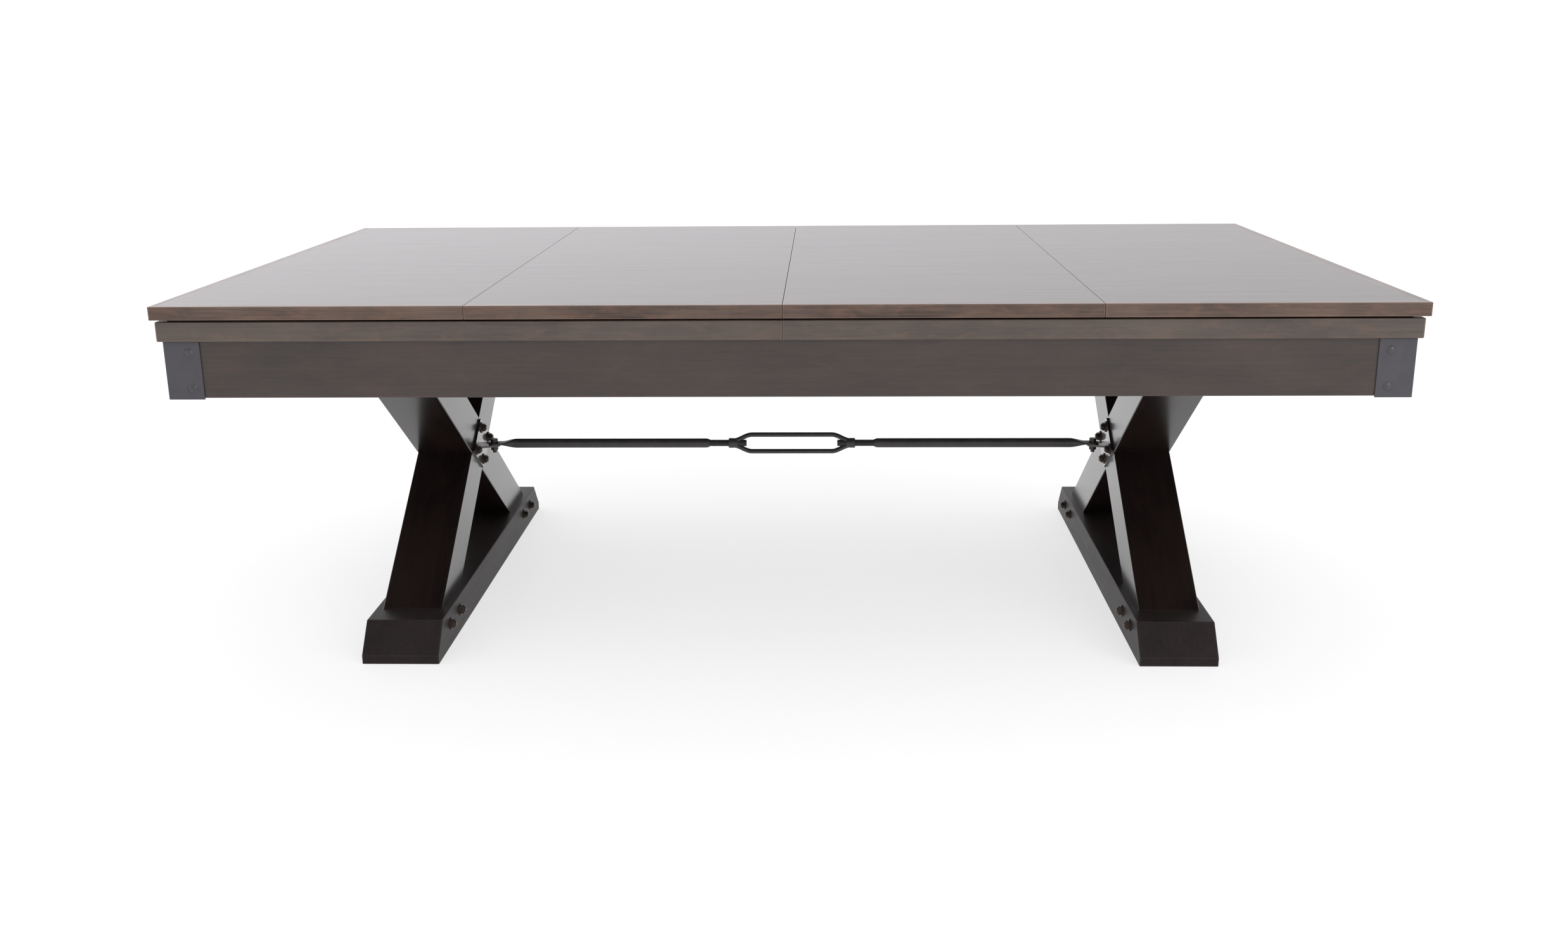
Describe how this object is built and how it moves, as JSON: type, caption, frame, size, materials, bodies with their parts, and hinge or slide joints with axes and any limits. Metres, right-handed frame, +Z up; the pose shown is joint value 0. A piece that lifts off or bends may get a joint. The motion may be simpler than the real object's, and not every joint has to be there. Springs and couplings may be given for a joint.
{
  "type": "pool table",
  "caption": "Rectangular pool table with a removable sectional dining top, X-shaped trestle legs, a turnbuckle tie rod and riveted corner brackets.",
  "frame": {"origin": "centre of the footprint, on the floor", "axes": "+X along the table's length, +Y across it to the back, +Z up"},
  "size_m": [2.591, 1.473, 0.838],
  "materials": {
    "top_veneer": "dark espresso veneer, satin lacquer",
    "top_edging": "dark espresso solid wood, satin lacquer",
    "felt_pad": "black felt",
    "rail_wood": "dark espresso wood, satin lacquer",
    "cushion_cloth": "rubber profile covered in grey billiard cloth",
    "sight_inlay": "mother-of-pearl style inlay",
    "pocket_leather": "black leather",
    "slate": "honed grey slate",
    "bed_cloth": "grey worsted billiard cloth",
    "apron_wood": "dark espresso veneer, satin lacquer",
    "bracket_steel": "gun-metal textured powder coat",
    "rivet_steel": "gun-metal semi-gloss paint",
    "frame_wood": "plain sanded poplar",
    "zinc_steel": "zinc plated",
    "leg_wood": "near-black brown solid wood, satin lacquer",
    "black_steel": "black oxide, semi-gloss",
    "tie_steel": "blackened steel, semi-gloss"
  },
  "bodies": {
    "table": {"rail_front_left": "rail_wood", "rail_front_right": "rail_wood", "rail_back_left": "rail_wood", "rail_back_right": "rail_wood", "rail_left_end": "rail_wood", "rail_right_end": "rail_wood", "cushion_front_left": "cushion_cloth", "cushion_front_right": "cushion_cloth", "cushion_back_left": "cushion_cloth", "cushion_back_right": "cushion_cloth", "cushion_left_end": "cushion_cloth", "cushion_right_end": "cushion_cloth", "rail_sights": "sight_inlay", "corner_pockets": "pocket_leather", "side_pockets": "pocket_leather", "slate_left": "slate", "slate_centre": "slate", "slate_right": "slate", "bed_cloth": "bed_cloth", "apron_front": "apron_wood", "apron_back": "apron_wood", "apron_left": "apron_wood", "apron_right": "apron_wood", "corner_brackets": "bracket_steel", "bracket_rivets": "rivet_steel", "slate_rim_strips": "frame_wood", "long_beams": "frame_wood", "cross_beams": "frame_wood", "head_beam_left": "frame_wood", "head_beam_right": "frame_wood", "rail_bolts": "zinc_steel", "leg_left_rising": "leg_wood", "leg_left_falling": "leg_wood", "leg_right_rising": "leg_wood", "leg_right_falling": "leg_wood", "foot_left": "leg_wood", "foot_right": "leg_wood", "hex_bolts": "black_steel", "flat_washers": "black_steel", "tie_plate_left": "black_steel", "tie_tube_left": "tie_steel", "threaded_end_left": "tie_steel", "tie_plate_right": "black_steel", "tie_tube_right": "tie_steel", "threaded_end_right": "tie_steel", "tab_bolts": "black_steel", "tab_nuts": "black_steel"},
    "dining_section_1": {"dining_panel_1": "top_veneer", "panel_edging_1": "top_edging", "panel_pads_1": "felt_pad"},
    "dining_section_2": {"dining_panel_2": "top_veneer", "panel_edging_2": "top_edging", "panel_pads_2": "felt_pad"},
    "dining_section_3": {"dining_panel_3": "top_veneer", "panel_edging_3": "top_edging", "panel_pads_3": "felt_pad"},
    "dining_section_4": {"dining_panel_4": "top_veneer", "panel_edging_4": "top_edging", "panel_pads_4": "felt_pad"},
    "turnbuckle": {"turnbuckle_body": "tie_steel"}
  },
  "joints": [
    {"name": "panel_1_lift", "type": "slide", "parent": "table", "child": "dining_section_1", "axis": [0, 0, 1], "range_m": [0, 0.3]},
    {"name": "panel_2_lift", "type": "slide", "parent": "table", "child": "dining_section_2", "axis": [0, 0, 1], "range_m": [0, 0.3]},
    {"name": "panel_3_lift", "type": "slide", "parent": "table", "child": "dining_section_3", "axis": [0, 0, 1], "range_m": [0, 0.3]},
    {"name": "panel_4_lift", "type": "slide", "parent": "table", "child": "dining_section_4", "axis": [0, 0, 1], "range_m": [0, 0.3]},
    {"name": "turnbuckle_turn", "type": "hinge", "parent": "table", "child": "turnbuckle", "pos_m": [0, 0, 0.361], "axis": [1, 0, 0], "range_deg": [-180, 180]}
  ]
}
